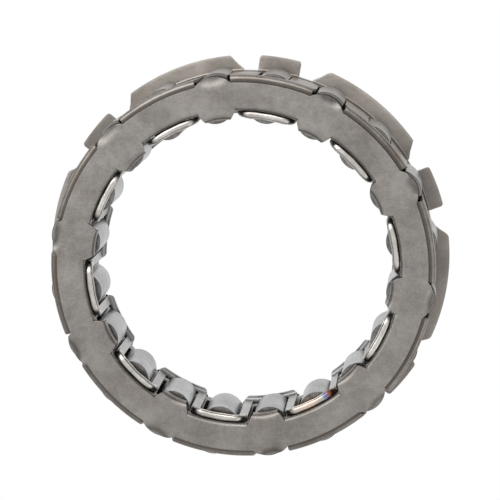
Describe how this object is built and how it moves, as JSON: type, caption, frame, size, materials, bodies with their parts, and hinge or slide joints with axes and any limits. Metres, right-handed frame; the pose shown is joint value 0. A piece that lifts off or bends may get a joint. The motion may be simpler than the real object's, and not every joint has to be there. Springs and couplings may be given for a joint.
{
  "type": "one-way sprag clutch",
  "caption": "Ring-shaped one-way starter clutch: cam-shaped sprags held in windows between a lugged outer cage and a flanged inner cage, with a ribbon spring.",
  "frame": {"origin": "on the clutch axis in the plane of the lug seat, the lower face of the lugs", "axes": "+Z along the clutch axis from the lugs to the plate; +X to the right and +Y to the top of the picture, so the first sprag lies 9 degrees from +X"},
  "size_m": [0.0702, 0.07, 0.016],
  "materials": {
    "lugged_cage_steel": "drawn low-carbon sheet, satin grey-brown with handling marks",
    "plate_steel": "drawn low-carbon sheet, satin warm grey with fine grain",
    "spring_steel": "bright rolled spring strip, polished on the rolled rails, with a little heat tint",
    "sprag_steel": "ground and hardened, fine satin light grey, polished cams"
  },
  "bodies": {
    "root": {"outer_cage": "lugged_cage_steel"},
    "inner_cage_body": {"inner_cage": "plate_steel", "ribbon_spring": "spring_steel"},
    "sprag_01_body": {"sprag_01": "sprag_steel"},
    "sprag_02_body": {"sprag_02": "sprag_steel"},
    "sprag_03_body": {"sprag_03": "sprag_steel"},
    "sprag_04_body": {"sprag_04": "sprag_steel"},
    "sprag_05_body": {"sprag_05": "sprag_steel"},
    "sprag_06_body": {"sprag_06": "sprag_steel"},
    "sprag_07_body": {"sprag_07": "sprag_steel"},
    "sprag_08_body": {"sprag_08": "sprag_steel"},
    "sprag_09_body": {"sprag_09": "sprag_steel"},
    "sprag_10_body": {"sprag_10": "sprag_steel"},
    "sprag_11_body": {"sprag_11": "sprag_steel"},
    "sprag_12_body": {"sprag_12": "sprag_steel"},
    "sprag_13_body": {"sprag_13": "sprag_steel"},
    "sprag_14_body": {"sprag_14": "sprag_steel"},
    "sprag_15_body": {"sprag_15": "sprag_steel"},
    "sprag_16_body": {"sprag_16": "sprag_steel"},
    "sprag_17_body": {"sprag_17": "sprag_steel"},
    "sprag_18_body": {"sprag_18": "sprag_steel"},
    "sprag_19_body": {"sprag_19": "sprag_steel"},
    "sprag_20_body": {"sprag_20": "sprag_steel"}
  },
  "joints": [
    {"name": "cage_phase", "type": "hinge", "parent": "root", "child": "inner_cage_body", "pos_m": [0, 0, 0.008], "axis": [0, 0, 1], "range_deg": [0, 1.4], "stiffness_Nm_per_rad": 0.05},
    {"name": "sprag_01_tilt", "type": "hinge", "parent": "root", "child": "sprag_01_body", "pos_m": [0.03082, 0.00488, 0.0084], "axis": [0, 0, 1], "range_deg": [-7.3, 0.3]},
    {"name": "sprag_02_tilt", "type": "hinge", "parent": "root", "child": "sprag_02_body", "pos_m": [0.0278, 0.01417, 0.0084], "axis": [0, 0, 1], "range_deg": [-7.3, 0.3]},
    {"name": "sprag_03_tilt", "type": "hinge", "parent": "root", "child": "sprag_03_body", "pos_m": [0.02206, 0.02206, 0.0084], "axis": [0, 0, 1], "range_deg": [-7.3, 0.3]},
    {"name": "sprag_04_tilt", "type": "hinge", "parent": "root", "child": "sprag_04_body", "pos_m": [0.01417, 0.0278, 0.0084], "axis": [0, 0, 1], "range_deg": [-7.3, 0.3]},
    {"name": "sprag_05_tilt", "type": "hinge", "parent": "root", "child": "sprag_05_body", "pos_m": [0.00488, 0.03082, 0.0084], "axis": [0, 0, 1], "range_deg": [-7.3, 0.3]},
    {"name": "sprag_06_tilt", "type": "hinge", "parent": "root", "child": "sprag_06_body", "pos_m": [-0.00488, 0.03082, 0.0084], "axis": [0, 0, 1], "range_deg": [-7.3, 0.3]},
    {"name": "sprag_07_tilt", "type": "hinge", "parent": "root", "child": "sprag_07_body", "pos_m": [-0.01417, 0.0278, 0.0084], "axis": [0, 0, 1], "range_deg": [-7.3, 0.3]},
    {"name": "sprag_08_tilt", "type": "hinge", "parent": "root", "child": "sprag_08_body", "pos_m": [-0.02206, 0.02206, 0.0084], "axis": [0, 0, 1], "range_deg": [-7.3, 0.3]},
    {"name": "sprag_09_tilt", "type": "hinge", "parent": "root", "child": "sprag_09_body", "pos_m": [-0.0278, 0.01417, 0.0084], "axis": [0, 0, 1], "range_deg": [-7.3, 0.3]},
    {"name": "sprag_10_tilt", "type": "hinge", "parent": "root", "child": "sprag_10_body", "pos_m": [-0.03082, 0.00488, 0.0084], "axis": [0, 0, 1], "range_deg": [-7.3, 0.3]},
    {"name": "sprag_11_tilt", "type": "hinge", "parent": "root", "child": "sprag_11_body", "pos_m": [-0.03082, -0.00488, 0.0084], "axis": [0, 0, 1], "range_deg": [-7.3, 0.3]},
    {"name": "sprag_12_tilt", "type": "hinge", "parent": "root", "child": "sprag_12_body", "pos_m": [-0.0278, -0.01417, 0.0084], "axis": [0, 0, 1], "range_deg": [-7.3, 0.3]},
    {"name": "sprag_13_tilt", "type": "hinge", "parent": "root", "child": "sprag_13_body", "pos_m": [-0.02206, -0.02206, 0.0084], "axis": [0, 0, 1], "range_deg": [-7.3, 0.3]},
    {"name": "sprag_14_tilt", "type": "hinge", "parent": "root", "child": "sprag_14_body", "pos_m": [-0.01417, -0.0278, 0.0084], "axis": [0, 0, 1], "range_deg": [-7.3, 0.3]},
    {"name": "sprag_15_tilt", "type": "hinge", "parent": "root", "child": "sprag_15_body", "pos_m": [-0.00488, -0.03082, 0.0084], "axis": [0, 0, 1], "range_deg": [-7.3, 0.3]},
    {"name": "sprag_16_tilt", "type": "hinge", "parent": "root", "child": "sprag_16_body", "pos_m": [0.00488, -0.03082, 0.0084], "axis": [0, 0, 1], "range_deg": [-7.3, 0.3]},
    {"name": "sprag_17_tilt", "type": "hinge", "parent": "root", "child": "sprag_17_body", "pos_m": [0.01417, -0.0278, 0.0084], "axis": [0, 0, 1], "range_deg": [-7.3, 0.3]},
    {"name": "sprag_18_tilt", "type": "hinge", "parent": "root", "child": "sprag_18_body", "pos_m": [0.02206, -0.02206, 0.0084], "axis": [0, 0, 1], "range_deg": [-7.3, 0.3]},
    {"name": "sprag_19_tilt", "type": "hinge", "parent": "root", "child": "sprag_19_body", "pos_m": [0.0278, -0.01417, 0.0084], "axis": [0, 0, 1], "range_deg": [-7.3, 0.3]},
    {"name": "sprag_20_tilt", "type": "hinge", "parent": "root", "child": "sprag_20_body", "pos_m": [0.03082, -0.00488, 0.0084], "axis": [0, 0, 1], "range_deg": [-7.3, 0.3]}
  ],
  "couplings": [
    {"joint": "sprag_01_tilt", "follows": "cage_phase", "ratio": -5},
    {"joint": "sprag_02_tilt", "follows": "cage_phase", "ratio": -5},
    {"joint": "sprag_03_tilt", "follows": "cage_phase", "ratio": -5},
    {"joint": "sprag_04_tilt", "follows": "cage_phase", "ratio": -5},
    {"joint": "sprag_05_tilt", "follows": "cage_phase", "ratio": -5},
    {"joint": "sprag_06_tilt", "follows": "cage_phase", "ratio": -5},
    {"joint": "sprag_07_tilt", "follows": "cage_phase", "ratio": -5},
    {"joint": "sprag_08_tilt", "follows": "cage_phase", "ratio": -5},
    {"joint": "sprag_09_tilt", "follows": "cage_phase", "ratio": -5},
    {"joint": "sprag_10_tilt", "follows": "cage_phase", "ratio": -5},
    {"joint": "sprag_11_tilt", "follows": "cage_phase", "ratio": -5},
    {"joint": "sprag_12_tilt", "follows": "cage_phase", "ratio": -5},
    {"joint": "sprag_13_tilt", "follows": "cage_phase", "ratio": -5},
    {"joint": "sprag_14_tilt", "follows": "cage_phase", "ratio": -5},
    {"joint": "sprag_15_tilt", "follows": "cage_phase", "ratio": -5},
    {"joint": "sprag_16_tilt", "follows": "cage_phase", "ratio": -5},
    {"joint": "sprag_17_tilt", "follows": "cage_phase", "ratio": -5},
    {"joint": "sprag_18_tilt", "follows": "cage_phase", "ratio": -5},
    {"joint": "sprag_19_tilt", "follows": "cage_phase", "ratio": -5},
    {"joint": "sprag_20_tilt", "follows": "cage_phase", "ratio": -5}
  ]
}
